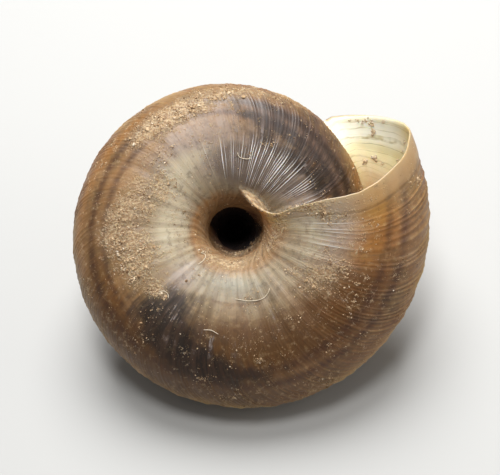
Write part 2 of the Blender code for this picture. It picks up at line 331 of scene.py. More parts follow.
def swept(section, azimuths):
    """Section points carried to their azimuths."""
    size = size_at(azimuths)
    radius = section[:, 0] * size
    return np.stack([radius * np.cos(azimuths), radius * np.sin(azimuths), section[:, 1] * size], 1)


def growth_rings(rng):
    """Growth azimuth and rib height of every ring from the apex to the lip."""
    azimuths, heights = [], []
    strengths, odds = RIB_STRENGTHS
    at = START
    while at < LIP:
        back = (LIP - at) / FULL_TURN
        mean = RIB_PITCH + (RIB_PITCH_SPIRE - RIB_PITCH) * smooth(back - 1)
        pitch = math.radians(mean * math.exp(rng.normal(0, RIB_UNEVEN)))
        strength = rng.choice(strengths, p=odds) * rng.uniform(*RIB_STRENGTH_SPREAD)
        shape = (RIB_SHAPE[0], *RIB_SHAPE[2:]) if back > RIB_SIMPLER else RIB_SHAPE
        for place, height in shape:
            azimuths.append(at + place * pitch)
            heights.append(height * strength)
        at += pitch
    azimuths, heights = np.array(azimuths), np.array(heights)
    kept = azimuths < LIP - math.radians(LIP_CLEAR)
    return np.append(azimuths[kept], LIP), np.append(heights[kept], LIP_RIB)


def bumps(growth, across, clouds):
    """Sum of soft round patches at their growths and places across the whorl."""
    total = np.zeros(np.broadcast(growth, across).shape)
    for growth_at, across_at, along, over, strength in clouds:
        away = ((growth - growth_at) / along) ** 2 + ((100 * across - across_at) / over) ** 2
        total += strength * np.exp(-away)
    return total


class Tube:
    """Coiled tube whose growth-line rings end on the turn before them."""

    def __init__(self, rng):
        self.section = outer_section()
        self.normals = inward_normals(self.section)
        self.lead = lip_lead(self.section)
        self.theta, self.rib = growth_rings(rng)
        self.count = len(self.theta) - 1
        share = smooth((self.theta - START) / FULL_TURN)
        lines = self.lead + self.waver(rng)
        self.azimuths = self.theta[:, None] + share[:, None] * lines + self.forward()
        self.sway = self.growth_sway(rng)
        self.open_from = int(np.searchsorted(self.theta, LIP - math.radians(TUBE_SHOWN)))
        self.points, self.values = [], []
        self.faces, self.face_values = [], []
        self.seat_rings = [self.seats(side) for side in (0, 1)]
        self.outer, self.inner = [], {}
        self.lay_outer()
        self.lay_inner()
        self.skin()

    def growth(self, ring):
        """Degrees of growth at a ring, 0 at the lip and negative before it."""
        return math.degrees(self.theta[ring] - LIP)

    def nearing_lip(self, over):
        """0 to 1 over the last degrees of growth, at each ring."""
        return smooth(1 + np.degrees(self.theta - LIP) / over)

    def waver(self, rng):
        """Small strays of the growth lines, shared by neighbouring rings."""
        across = np.arange(COLUMNS + 1) / COLUMNS
        total = np.zeros((len(self.theta), COLUMNS + 1))
        for along, over in WAVER_WAVES:
            phase = rng.uniform(0, FULL_TURN)
            total += np.sin(along * self.theta[:, None] + over * across * math.pi + phase)
        stops = np.linspace(0, 1, LIP_CHIP_COUNT)
        chips = np.interp(across, stops, rng.normal(0, 1, LIP_CHIP_COUNT)) * LIP_CHIPS
        edge = self.nearing_lip(LIP_CHIPS_OVER)
        total = total * RIB_WAVER / len(WAVER_WAVES) - np.outer(edge, np.abs(chips))
        return np.radians(total * np.sin(across * math.pi) ** 0.5)

    def forward(self):
        """What the lip, and the growth lines towards it, run ahead of the solid's."""
        place, ahead = zip(*LIP_FORWARD)
        ahead = np.radians(np.interp(np.arange(COLUMNS + 1) / COLUMNS, place, ahead))
        return np.outer(self.nearing_lip(LIP_FORWARD_OVER), ahead)

    def growth_sway(self, rng):
        """Slow swelling and pinching of the tube as it grew."""
        sway = np.zeros(len(self.theta))
        for wavelength, height in SWELLINGS:
            phase = rng.uniform(0, FULL_TURN)
            wander = np.cumsum(rng.normal(0, SWELLING_WANDER, len(self.theta)))
            sway += height * np.sin(np.degrees(self.theta) / wavelength * FULL_TURN + phase + wander)
        rest = np.exp(-((np.degrees(self.theta - LIP) + LIP_BAND) / REST_WIDTH) ** 2)
        return sway - np.abs(sway).max() - REST_DEPTH * rest

    def seats(self, side):
        """Ring of the turn before that each ring ends on; negative before the first."""
        wanted = self.azimuths[:, (0, COLUMNS)[side]] - FULL_TURN
        seat_azimuths = self.azimuths[:, SEATS[side]]
        after = np.clip(np.searchsorted(seat_azimuths, wanted), 1, self.count)
        nearer = wanted - seat_azimuths[after - 1] < seat_azimuths[after] - wanted
        at = after - nearer
        first = int(np.argmax(wanted >= seat_azimuths[0]))
        at[:first] = np.arange(-first, 0)
        return at

    def seat(self, at, side, inward=0):
        """Vertex that a ring's end stands on: on the axis before the first turn."""
        column = SEATS[side]
        if at < 0:
            column = max(0, column + at) if side == 0 else min(COLUMNS, column - at)
            return self.outer[0][column]
        return self.outer[at][column + (inward if side == 0 else -inward)]

    def add(self, point, *values):
        """Adds a vertex with its growth, place across the whorl, rib height and whether it is inside."""
        self.points.append(point)
        self.values.append(values)
        return len(self.points) - 1

    def sunk_ring(self, ring, depth):
        """Points of a ring that lies so many metres under the crests."""
        size = size_at(self.theta[ring])
        sunk = (RIB_SINK + depth - self.sway[ring] * size) / PERIPHERY_RADIUS / size
        return swept(self.section + self.normals * np.reshape(sunk, (-1, 1)), self.azimuths[ring])

    def lay_ring(self, ring, shape, crest, inside):
        """Adds a ring, its ends drawn to the vertices that it stands on."""
        ends = [self.seat(self.seat_rings[side][ring], side, inside) for side in (0, 1)]
        column = np.arange(COLUMNS + 1)
        near = np.clip(1 - column / SPIRE_COLUMNS, 0, 1) ** 2
        far = np.clip(1 - (COLUMNS - column) / UMBILICAL_COLUMNS, 0, 1) ** 2
        shape = shape + np.outer(near, self.points[ends[0]] - shape[0])
        shape = shape + np.outer(far, self.points[ends[1]] - shape[-1])
        growth = self.growth(ring)
        middle = [self.add(shape[k], growth, k / COLUMNS, crest[k], inside) for k in range(1, COLUMNS)]
        return [ends[0], *middle, ends[1]]

    def rib_height(self, ring):
        """Height of the rib at each column; the base of the whorl is smoother than its side."""
        growth = self.growth(ring)
        column = np.arange(COLUMNS + 1) / COLUMNS
        place, height = zip(*RIB_REACH)
        reach = np.interp(column, place, height)
        silvery = np.clip(bumps(growth, column, CLOUDS["ribbed"]), 0, 1)
        crowding = np.clip(self.section[:, 0] / RIB_CROWDED, 0, 1)
        low, high, share, older, newer = RIB_WORN
        worn = share * smooth((column - low) / (high - low)) * smooth((newer - growth) / (newer - older))
        reach = (reach * (1 - worn) + (1 - reach) * silvery) * crowding * (1 - rising(growth, *RIB_FADE))
        return self.rib[ring] * reach * smooth(column / RIB_SUTURE)

    def lay_outer(self):
        """Rings of the outer surface, the first one on the coil axis."""
        start = size_at(self.theta[0])
        axis = np.zeros((COLUMNS + 1, 3))
        axis[:, 2] = np.linspace(*APEX_SPAN, COLUMNS + 1) * start
        self.outer.append([self.add(p, -360 * TURNS, 0.5, 0, 0) for p in axis])
        for ring in range(1, self.count + 1):
            crest = self.rib_height(ring)
            hollow = 1 - np.maximum(crest, rising(self.growth(ring), *LIP_RISE))
            lower = smooth(size_at(self.theta[ring]) / RIB_FULL_SIZE)
            shape = self.sunk_ring(ring, RIB_HEIGHT * hollow * lower)
            grown = (self.theta[ring] - START) / (NUCLEUS_TURNS * FULL_TURN)
            full = math.sin(math.pi / 2 * min(1, grown)) ** NUCLEUS_POWER
            shape = axis * (1 - full) + shape * full
            self.outer.append(self.lay_ring(ring, shape, crest, 0))

    def lay_inner(self):
        """Rings of the open tube's surface."""
        self.tube_rings = list(range(self.count, self.open_from, -TUBE_STEP))[::-1]
        for ring in self.tube_rings:
            edge = LIP_EDGE + (1 - LIP_EDGE) * smooth((LIP - self.theta[ring]) / math.radians(LIP_TAPER))
            shape = self.sunk_ring(ring, WALL * edge)
            self.inner[ring] = self.lay_ring(ring, shape, np.zeros(COLUMNS + 1), 1)

    def face(self, *corners, seated=None):
        """Adds a face, less the corners that coincide; seated gives the values at corners on a seat."""
        kept = [c for k, c in enumerate(corners) if c != corners[k - 1]]
        if len(set(kept)) > 2:
            self.faces.append(kept)
            self.face_values.append([(seated or {}).get(c, self.values[c]) for c in kept])

    def ends(self, lower, upper, rings, inward):
        """Last faces of a strip; an end that passes several seats fans out to them."""
        for side in (0, 1):
            a = 1 if side == 0 else COLUMNS - 1
            first, last = (self.seat_rings[side][ring] for ring in rings)
            chain = [self.seat(at, side, inward) for at in range(first, last + 1)]
            begin, end = self.values[lower[a]][0], self.values[upper[a]][0]
            at_seat = np.linspace(begin, end, len(chain))
            seated = {c: (g, float(side), 0, self.values[lower[a]][3]) for c, g in zip(chain, at_seat)}
            self.face(lower[a], upper[a], chain[0], seated=seated)
            for low, high in zip(chain, chain[1:]):
                self.face(upper[a], high, low, seated=seated)

    def strip(self, rings, inward, columns):
        """Faces between two rings, at these columns and at both ends."""
        lower, upper = ((self.outer, self.inner)[inward][ring] for ring in rings)
        for column in columns:
            self.face(lower[column], lower[column + 1], upper[column + 1], upper[column])
        self.ends(lower, upper, rings, inward)

    def skin(self):
        """Faces of the outside, the open tube, the lip and the tube's blind end."""
        blind = self.tube_rings[0]
        bases = [self.seat_rings[side][blind] for side in (0, 1)]
        lip_seats = [self.seat_rings[side][self.count] for side in (0, 1)]
        self.bases = np.linspace(bases[0], bases[1], COVERED_COLUMNS - 1).round().astype(int)
        for ring in range(self.count):
            shown = [k for k in range(1, COLUMNS - 1) if not self.is_covered(ring, k, lip_seats)]
            self.strip((ring, ring + 1), 0, shown)
        for rings in zip(self.tube_rings, self.tube_rings[1:]):
            self.strip(rings, 1, range(1, COLUMNS - 1))
        lip_out, lip_in = self.outer[self.count], self.inner[self.count]
        seated = {
            ring[side * COLUMNS]: (0, float(side), 0, 1) for ring in (lip_out, lip_in) for side in (0, 1)
        }
        for column in range(COLUMNS):
            corners = lip_out[column], lip_out[column + 1], lip_in[column + 1], lip_in[column]
            self.face(*corners, seated=seated)
        self.close_tube(blind)

    def is_covered(self, ring, column, lip_seats):
        """Whether a later turn hides this patch of the outside, or stands on it."""
        if column == SEATS[0]:
            return ring < lip_seats[0]
        if column == SEATS[1] - 1:
            return ring < lip_seats[1]
        if SEATS[0] < column < SEATS[1] - 1:
            return ring < self.bases[column - SEATS[0] - 1]
        return False

    def close_tube(self, blind):
        """Blind end of the tube, from its last ring to the staircase left on the turn before."""
        path = [self.outer[self.bases[0]][SEATS[0] + 1]]
        for k, base in enumerate(self.bases[:-1]):
            column = SEATS[0] + 2 + k
            path.append(self.outer[base][column])
            step = 1 if self.bases[k + 1] >= base else -1
            for ring in range(base + step, self.bases[k + 1] + step, step):
                path.append(self.outer[ring][column])
        loop = self.inner[blind] + path[::-1]
        closed = [c for k, c in enumerate(loop) if c != loop[k - 1]]
        if len(set(closed)) == len(closed):
            self.face(*closed)


def to_world(points):
    """Coil coordinates in periphery radii to the part's frame in metres."""
    lean, toward, turn = (math.radians(a) for a in (REST_LEAN, REST_TOWARD, REST_TURN))
    tip = Matrix.Rotation(lean, 3, Vector((-math.sin(toward), math.cos(toward), 0)))
    turned = np.array(Matrix.Rotation(turn, 3, "Z") @ tip)
    return np.asarray(points) * PERIPHERY_RADIUS @ turned.T + CONE_TIP


def shell_mesh(tube):
    used = sorted({corner for face in tube.faces for corner in face})
    renumber = {old: new for new, old in enumerate(used)}
    points = to_world([tube.points[k] for k in used])
    mesh = bpy.data.meshes.new("ribbed_shell")
    mesh.from_pydata(points.tolist(), [], [[renumber[c] for c in face] for face in tube.faces])
    values = np.array([value for face in tube.face_values for value in face], np.float32)
    fields = dict(zip(("growth", "across", "crest", "inside"), values.T))
    for name, places in CLOUDS.items():
        fields[name] = bumps(fields["growth"], fields["across"], places) * (1 - fields["inside"])
    for name, field in fields.items():
        mesh.attributes.new(name, "FLOAT", "CORNER").data.foreach_set("value", field.astype(np.float32))
    outward = bmesh.new()
    outward.from_mesh(mesh)
    bmesh.ops.recalc_face_normals(outward, faces=outward.faces)
    if outward.calc_volume(signed=True) < 0:
        bmesh.ops.reverse_faces(outward, faces=outward.faces)
    outward.to_mesh(mesh)
    outward.free()
    mesh.shade_smooth()
    return mesh


def linear(red, green, blue):
    """Screen colour in 0 to 255 as a linear one."""
    shares = (red / 255, green / 255, blue / 255)
    return tuple(c / 12.92 if c <= 0.04045 else ((c + 0.055) / 1.055) ** 2.4 for c in shares)


class Value:
    """Output of a node; what is worked out from it adds nodes of its own."""

    def __init__(self, shader, socket):
        self.shader, self.socket = shader, socket

    def __add__(self, other):
        return self.shader.math("ADD", self, other)

    def __mul__(self, other):
        return self.shader.math("MULTIPLY", self, other)

    def most(self, other):
        return self.shader.math("MAXIMUM", self, other)

    def swing(self, width):
        """Noise as a swing of this width about 0."""
        return (self + -0.5) * width

    def rise(self, low, high, bottom=0.0, top=1.0):
        """Smooth step from bottom to top as the value goes from low to high."""
        node = self.shader.tree.nodes.new("ShaderNodeMapRange")
        node.interpolation_type = "SMOOTHSTEP"
        for value, socket in zip((self, low, high, bottom, top), node.inputs):
            self.shader.link(value, socket)
        return Value(self.shader, node.outputs[0])

    def line(self, centre, width):
        """1 at the centre, falling smoothly to 0 at the width on both sides."""
        return self.shader.math("ABSOLUTE", self + -centre).rise(width, 0)


class Shader:
    """A material's node tree and the colour so far, with a short way to add each kind of node."""

    def __init__(self, name):
        self.material = bpy.data.materials.new(name)
        self.material.use_nodes = True
        self.tree = self.material.node_tree
        self.surface = self.tree.nodes["Principled BSDF"]
        self.color = None

    def link(self, value, socket):
        if isinstance(value, Value):
            self.tree.links.new(value.socket, socket)
        elif isinstance(value, tuple) and socket.type == "RGBA":
            socket.default_value = (*linear(*value), 1)
        else:
            socket.default_value = value

    def node(self, kind, output, **sockets):
        made = self.tree.nodes.new(kind)
        for name, value in sockets.items():
            self.link(value, made.inputs[name])
        return Value(self, made.outputs[output])

    def attribute(self, name):
        value = self.node("ShaderNodeAttribute", "Fac")
        value.socket.node.attribute_name = name
        return value

    def math(self, operation, *values):
        value = self.node("ShaderNodeMath", 0)
        value.socket.node.operation = operation
        for operand, socket in zip(values, value.socket.node.inputs):
            self.link(operand, socket)
        return value

    def noise(self, place, scale, detail, roughness):
        return self.node(
            "ShaderNodeTexNoise", "Fac", Vector=place, Scale=scale, Detail=detail, Roughness=roughness,
        )

    def speckle(self, *kind):
        """Noise that is the same all ways."""
        return self.noise(self.node("ShaderNodeTexCoord", "Object"), *kind)

    def mix(self, amount, a, b):
        """Colour between two others, each a node's or a screen colour."""
        node = self.tree.nodes.new("ShaderNodeMix")
        node.data_type = "RGBA"
        sockets = {socket.identifier: socket for socket in (*node.inputs, *node.outputs)}
        for value, name in ((amount, "Factor_Float"), (a, "A_Color"), (b, "B_Color")):
            self.link(value, sockets[name])
        return Value(self, sockets["Result_Color"])

    def over(self, amount, shade):
        """Lays a shade over the colour so far."""
        self.color = self.mix(amount, self.color, shade)

    def ramp(self, value, stops):
        """Runs through screen colours, each at its place from 0 to 1."""
        color = self.node("ShaderNodeValToRGB", "Color", Fac=value)
        band = color.socket.node.color_ramp
        while len(band.elements) < len(stops):
            band.elements.new(0.5)
        for element, (place, shade) in zip(band.elements, stops):
            element.position = place
            element.color = (*linear(*shade), 1)
        return color

    def bump(self, height, distance, strength, **under):
        return self.node(
            "ShaderNodeBump", 0, Height=height, Distance=distance, Strength=strength, **under,
        )

    def set_surface(self, values):
        for name, value in values.items():
            self.link(value, self.surface.inputs[name])
        return self.material


# The materials' shades are screen colours, 0 to 255
ACROSS_SHADES = (  # place across the whorl, from the upper suture to the umbilicus
    (0.00, (124, 92, 54)), (0.12, (140, 106, 62)), (0.26, (140, 106, 62)), (0.35, (138, 102, 60)),
    (0.44, (140, 101, 58)), (0.53, (144, 109, 66)), (0.63, (150, 128, 96)), (0.72, (158, 144, 120)),
    (0.79, (160, 144, 118)), (0.83, (158, 122, 84)), (0.92, (166, 132, 94)), (1.00, (150, 114, 80)),
)
STAINS = (  # attribute, noise at its edge, how ragged, rises from, to, strength, shade
    ("amber", "broad", 0.8, 0.1, 0.9, 0.75, (164, 108, 42)),
    ("umber", "broad", 0.7, 0.05, 1.00, 0.85, (86, 54, 19)),
    ("pearl", "broad", 0.5, 0.05, 0.95, 0.75, (158, 144, 136)),
    ("cream", "fine", 0.6, 0.1, 1.00, 0.8, (192, 180, 154)),
)
STREAKS = {  # noise drawn out along the growth lines: waves in a degree, across, offset, detail, roughness
    "fine": (0.55, 5, 0, 3, 0.6), "broad": (0.13, 3, 4, 3, 0.55),
}
SPECKLES = {  # noise that is the same all ways: scale, detail, roughness
    "mottle": (900, 4, 0.6), "specks": (6500, 3, 0.65), "patches": (260, 3, 0.55),
    "clumps": (2600, 3, 0.6), "blotch": (420, 3, 0.6),
}
BANDS = ((0.386, 0.029), (0.447, 0.025))  # place across the whorl, half width
LATE_BANDS = ((0.384, 0.036), (0.45, 0.032))  # where the last turn's start is clouded
SOIL_TONES = (
    (0.00, (96, 70, 46)), (0.12, (140, 110, 78)), (0.45, (184, 154, 116)), (0.85, (208, 182, 146)),
    (0.98, (222, 204, 176)), (1.00, (230, 218, 198)),
)


class ShellShader(Shader):
    """The shell's colours, laid one over another by growth and by place across the whorl."""

    def __init__(self):
        super().__init__("weathered_shell")
        for name in ("growth", "across", "crest", "inside", "soil"):
            setattr(self, name, self.attribute(name))
        for name, kind in STREAKS.items():
            setattr(self, name, self.streaks(*kind))
        for name, kind in SPECKLES.items():
            setattr(self, name, self.speckle(*kind))

    def streaks(self, along, over, offset=0, detail=2, roughness=0.5):
        place = {"X": self.growth * along, "Y": self.across * over, "Z": offset}
        return self.noise(self.node("ShaderNodeCombineXYZ", 0, **place), 1, detail, roughness)

    def lay_horn(self):
        """Horn colour across the whorl, streaked along the growth lines and blotched."""
        self.color = self.ramp(self.across + self.patches.swing(0.1), ACROSS_SHADES)
        self.over(self.broad.rise(0.35, 0.75, 0, 0.45), (96, 66, 38))
        self.over(self.fine.rise(0.45, 0.8, 0, 0.22), (188, 160, 116))
        base = self.across.rise(0.22, 0.3) * self.across.rise(0.8, 0.7)
        self.over(self.blotch.rise(0.5, 0.64) * base * 0.45, (108, 92, 58))
        self.over(self.blotch.rise(0.48, 0.36) * base * 0.35, (152, 124, 94))
        self.over(self.streaks(0.012, 34, 7).rise(0.5, 0.72, 0, 0.45), (100, 64, 36))

    def lay_stains(self):
        """Stains placed by the mesh's attributes, a greyer and darker patch below the umbilicus, and the
        soiled rim of its funnel.
        """
        for name, noise_name, ragged, low, high, strength, shade in STAINS:
            stain = self.attribute(name) + getattr(self, noise_name).swing(ragged)
            setattr(self, name, stain.rise(low, high))
            self.over(getattr(self, name) * strength, shade)
        # a greyer, darker patch below the umbilicus
        below = self.growth.line(-104, 62) * self.across.line(0.775, 0.085)
        self.over(below * 0.85, self.mix(self.fine, (116, 112, 96), (150, 146, 130)))
        ring = self.growth.line(-104, 84) * self.across.line(0.88, 0.085)
        self.over(ring * 0.8, self.mix(self.clumps, (84, 68, 46), (140, 118, 86)))

    def lay_flames(self):
        """Reddish flames on the upper side."""
        flames = self.streaks(0.055, 2.2, 11)
        upper = self.across.rise(0.34, 0.22)
        self.over(flames.rise(0.62, 0.4) * upper * 0.45, (196, 160, 108))
        self.over(flames.rise(0.5, 0.6) * upper * 0.75, (116, 72, 38))

    def lay_bands(self):
        """Two spiral bands under the periphery, broken where growth was paler, and dark clouds."""
        broken = self.broad.rise(0.3, 0.52, 0.35, 1) * self.fine.rise(0.32, 0.56, 0.5, 1)
        wobble = self.across + self.patches.swing(0.02)
        first, second = (wobble.line(*band) for band in BANDS)
        self.over(first.most(second * 0.85) * broken * 0.9, (70, 40, 22))

        ragged = self.fine.swing(1.3) + (self.mottle + self.blotch + -1) * 1.1
        self.dark = (self.attribute("dark") + ragged).rise(0.12, 0.98)
        self.over(self.dark * 0.95, self.mix(self.fine.rise(0.4, 0.65), (27, 18, 13), (60, 42, 31)))

        late = self.growth.rise(-284, -306) * self.across.line(0.4, 0.13)
        between = self.mix(self.fine.rise(0.38, 0.6), (58, 42, 35), (112, 88, 74))
        self.over(late * 0.62, between)
        first, second = (wobble.line(*band) for band in LATE_BANDS)
        self.over(late * first.most(second) * 1.1, (36, 22, 18))

    def lay_wear_and_hollow_shade(self):
        """Worn crests of the ribs, painted shade in their hollows, pale wear and fine dirt."""
        side = self.across.rise(0.5, 0.36)
        worn = self.crest.rise(0.25, 0.9) * self.mottle.rise(0.35, 0.6, 0.4, 1)
        self.over(worn * side * 0.18, self.mix(self.dark, (200, 166, 114), (180, 168, 160)))
        # painted shade: darker hollows between the ribs
        self.over(self.crest.rise(0.3, 0) * side * 0.25, (84, 56, 30))
        clean = self.dark.rise(0.2, 0.9, 1, 0.25)
        self.over(self.clumps.rise(0.54, 0.68, 0, 0.2) * clean, (190, 162, 120))
        self.over(self.clumps.rise(0.46, 0.34, 0, 0.3), (66, 46, 30))

    def lay_grey_and_highlights(self):
        """Greyer ground where the ribs are strong on the pearly part, with painted highlights: silvery
        streaks on the rib crests there and glints on the dark clouds.
        """
        ribbed = (self.attribute("ribbed") + self.blotch.swing(0.8)).rise(0.25, 0.75)
        self.over(ribbed * 0.7, (92, 76, 64))
        highlight_patches = ribbed * self.mottle.rise(0.36, 0.5, 0.45, 1)
        # painted highlight: near-white streaks on the rib crests of the pearly and ribbed parts
        crest_highlight = self.crest.rise(0.06, 0.28) * self.fine.rise(0.34, 0.5)
        crest_highlight = crest_highlight * (self.pearl * 0.85).most(highlight_patches)
        self.over(crest_highlight * 0.95, (240, 236, 232))
        # painted highlight: grey glints on the dark clouds
        glint = self.fine.rise(0.52, 0.66) * self.dark * self.across.rise(0.46, 0.54)
        self.over(glint * self.mottle.rise(0.5, 0.6) * 0.6, (168, 156, 150))

    def lay_umbilicus_shade(self):
        """Painted shade in the depth of the umbilicus, whose edge moves inwards as the shell grew."""
        # painted shade: the older wall of the umbilicus darkened
        sunken = self.growth.rise(-320, -350) * self.across.rise(0.835, 0.9)
        self.over(sunken * 0.75, (70, 40, 36))
        inward = self.across + self.growth * 0.0007 + 0.2611
        deep = self.growth.rise(-360, -376) * inward.rise(0.848, 0.868)
        deeper = self.growth.rise(-550, -572) * self.across.rise(0.7, 0.76)
        # painted shade: near-black deep in the umbilicus
        self.over(deep.most(deeper), (30, 21, 20))

    def lay_lip(self):
        """Pale lip, with a line behind it where growth rested."""
        lip = self.growth.rise(-LIP_BAND - 1, -LIP_BAND + 3)
        shade = self.mix(self.across.rise(0.5, 0.62), (186, 150, 106), (158, 140, 122))
        self.over(lip * 0.6, shade)
        self.over(self.growth.line(-LIP_BAND, 0.9) * 0.35, (120, 84, 50))
        self.over(self.growth.rise(-4.5, -0.5, 0, 0.3), (196, 168, 128))

    def lay_inside(self):
        """Creamy inside with olive growth lines, browner deep in the tube and at the columella; paler
        towards the mouth as painted light shining through the thin wall, with painted shade tinting the
        side wall tan.
        """
        outer = self.color
        # browner deep in the tube and paler towards the mouth; the paleness is painted light standing in
        # for light through the thin wall
        self.color = self.mix(self.growth.rise(-48, -10), (150, 108, 54), (238, 224, 182))
        self.over(self.patches.rise(0.45, 0.7) * 0.4, (206, 184, 120))
        # painted light: near-white just inside the mouth
        self.over(self.growth.rise(-16, -8) * 0.6, (248, 246, 234))
        drift = self.streaks(0.21, 1.6, 17) * 2.2 + self.broad * 1.3 + self.blotch * 0.9
        lines = self.math("FRACT", self.growth * 0.3 + drift).line(0.5, 0.12)
        lines = lines * self.patches.rise(0.35, 0.55, 0.35, 1) * self.mottle.rise(0.36, 0.56, 0.35, 1)
        self.over(lines * self.growth.rise(-34, -20, 0.15, 1) * 0.68, (132, 116, 62))
        rim = self.mix(self.across.rise(0.24, 0.4), (222, 208, 176), (182, 154, 114))
        self.over(self.growth.rise(-3, -0.3, 0, 0.7), rim)
        # painted shade: tan on the side wall, where the outside behind the thin wall lies in shade
        wall = (self.across + self.growth * -0.0025).rise(0.16, 0.225)
        self.over(wall * 0.62, (196, 160, 100))
        self.columella = self.across.rise(0.78, 0.86)
        self.over(self.columella, self.mix(self.clumps.rise(0.4, 0.6), (132, 106, 78), (176, 150, 116)))
        self.color = self.mix(self.inside, outer, self.color)

    def lay_dust(self):
        """Dried soil dusted over the outside, as grit and as a thin veil."""
        outside = self.math("SUBTRACT", 1, self.inside)
        grit = self.mottle * 1.4 + self.specks * 1.2 + self.patches * 0.8 + self.clumps * 1.6
        crust = (self.soil + (grit + -2.6)).rise(0.3, 0.85)
        thin = self.specks.rise(0.62, 0.7) * self.mottle.rise(0.5, 0.64)
        self.dust = crust.most(thin) * outside
        veil = self.soil.rise(0.05, 0.8) * self.mottle.rise(0.3, 0.6, 0.5, 1) * outside
        self.over(veil * 0.3, (170, 146, 112))
        self.over(self.dust * 0.7, self.mix(self.specks.rise(0.35, 0.65), (140, 110, 78), (200, 176, 142)))


def shell_material():
    shell = ShellShader()
    shell.lay_horn()
    shell.lay_stains()
    shell.lay_flames()
    shell.lay_bands()
    shell.lay_wear_and_hollow_shade()
    shell.lay_grey_and_highlights()
    shell.lay_umbilicus_shade()
    shell.lay_lip()
    shell.lay_inside()
    shell.lay_dust()
    rough = shell.mottle.rise(0.3, 0.7, 0.4, 0.56) + shell.dust * 0.4
    rough = rough + shell.across.rise(0.6, 0.7) * 0.14 + shell.columella * shell.inside * 0.3
    relief = shell.bump(shell.streaks(3, 6), 0.00003, 0.35)
    return shell.set_surface({
        "Base Color": shell.color, "Roughness": rough, "IOR": 1.48,
        "Normal": shell.bump(shell.dust * shell.specks, 0.00012, 0.8, Normal=relief),
        "Coat Weight": 0.07, "Coat Roughness": 0.18,
        "Subsurface Weight": 0.4, "Subsurface Radius": (1, 0.65, 0.35), "Subsurface Scale": 0.001,
    })


def plain_material(name, shade, roughness):
    return Shader(name).set_surface({"Base Color": shade, "Roughness": roughness})


def add_object(name, data):
    made = bpy.data.objects.new(name, data)
    bpy.context.scene.collection.objects.link(made)
    return made


def make_shell():
    tube = Tube(np.random.default_rng(SHELL_SEED))
    piece = add_object("ribbed_shell", shell_mesh(tube))
    piece.data.materials.append(shell_material())
    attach(piece, "root")
    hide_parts("shell")
    return tube, piece


def icosahedron():
    made = bmesh.new()
    bmesh.ops.create_icosphere(made, subdivisions=1, radius=1)
    form = [tuple(v.co) for v in made.verts], [tuple(v.index for v in f.verts) for f in made.faces]
    made.free()
    return form


def soil_density(centres, growth, across, inside):
    """How thickly the dried soil lies at each place, in crusts and as single grains."""
    crust = bumps(growth, across, CLOUDS["soil"])
    patches, clumps = (
        np.array([noise.fractal(Vector(c) * scale, *kind) for c in centres])
        for scale, *kind in (SOIL_PATCHES, SOIL_CLUMPS)
    )
    thick = rising(crust + SOIL_RAGGED * patches, *CRUST_RISE) * rising(clumps, *CLUMP_RISE)
    thin = SINGLE_GRAINS * rising(patches, *SINGLE_RISE)
    oldest, newest = SOIL_GROWTH
    funnel, funnel_oldest = SOIL_UMBILICUS
    seen = (growth > oldest) | (across > funnel) & (growth > funnel_oldest)
    outside = (1 - inside) * (growth < newest) * seen
    return thick * outside, thin * outside


def rotations(rng, count):
    """Matrices of random turns."""
    turns = np.roll(rng.normal(size=(count, 4)), 1, axis=1)
    return np.array([Quaternion(turn).normalized().to_matrix() for turn in turns])


def kept_in_box(points):
    """Points moved into the solid's box where they stand out of it."""
    return np.clip(points, np.array(cad_box[0]) + EDGE, np.array(cad_box[1]) - EDGE)


def grains(name, rng, form, places, normals, sizes, pale=0):
    """Mesh of uneven lumps, each pressed onto its place; the last ones are pale, painted light for the
    crumbs that lie in the shade of the mouth.
    """
    corners, faces = np.array(form[0], float), np.array(form[1])
    count = len(places)
    lumps = corners * rng.uniform(*LUMP_CORNERS, (count, len(corners), 1))
    lumps = lumps * rng.uniform(*LUMP_AXES, (count, 1, 3))
    lumps = np.einsum("nvi,nji->nvj", lumps, rotations(rng, count))
    height = np.einsum("nvi,ni->nv", lumps, normals)
    lumps -= LUMP_FLATTENED * height[..., None] * normals[:, None]
    middles = places + normals * sizes[:, None] * LUMP_LIFT
    verts = kept_in_box((middles[:, None] + lumps * sizes[:, None, None]).reshape(-1, 3))
    polygons = (faces[None] + len(corners) * np.arange(count)[:, None, None]).reshape(-1, 3)
    made = bpy.data.meshes.new(name)
    made.from_pydata(verts.tolist(), [], polygons.tolist())
    tones = rng.uniform(size=count)
    # painted light: the crumbs in the mouth get only the palest tones
    tones[count - pale:] = PALE_TONE + (1 - PALE_TONE) * tones[count - pale:]
    tones = np.repeat(tones, len(corners)).astype(np.float32)
    made.attributes.new("tone", "FLOAT", "POINT").data.foreach_set("value", tones)
    return made


def soil_shares(shell):
    """Corners and normals of the shell's faces, and the share of the grains and of the crumbs on each."""
    mesh = shell.data
    order = [(*p.vertices, p.vertices[0])[:4] for p in mesh.polygons]
    points = np.array([v.co for v in mesh.vertices])[np.array(order)]
    starts = np.array([p.loop_start for p in mesh.polygons])
    fields = []
    for name in ("growth", "across", "inside"):
        values = np.array([v.value for v in mesh.attributes[name].data])
        fields.append(np.add.reduceat(values, starts) / np.diff([*starts, len(values)]))
    areas = np.array([p.area if len(p.vertices) < 5 else 0 for p in mesh.polygons])
    thick, thin = soil_density(points.mean(axis=1), *fields)
    weights = areas * (thick + thin), areas * (thick**2 + thin * SINGLE_CRUMBS)
    shares = [weight / weight.sum() for weight in weights]
    return points, np.array([p.normal for p in mesh.polygons]), *shares


def strewn(rng, points, normals, share, count, size, spread, largest):
    """Random places on the shell where soil sticks, with their normals and grain sizes."""
    chosen = rng.choice(len(share), count, p=share)
    places = np.einsum("nk,nki->ni", rng.dirichlet((1, 1, 1, 1), count), points[chosen])
    return places, normals[chosen], size * np.minimum(largest, np.exp(rng.normal(0, spread, count)))


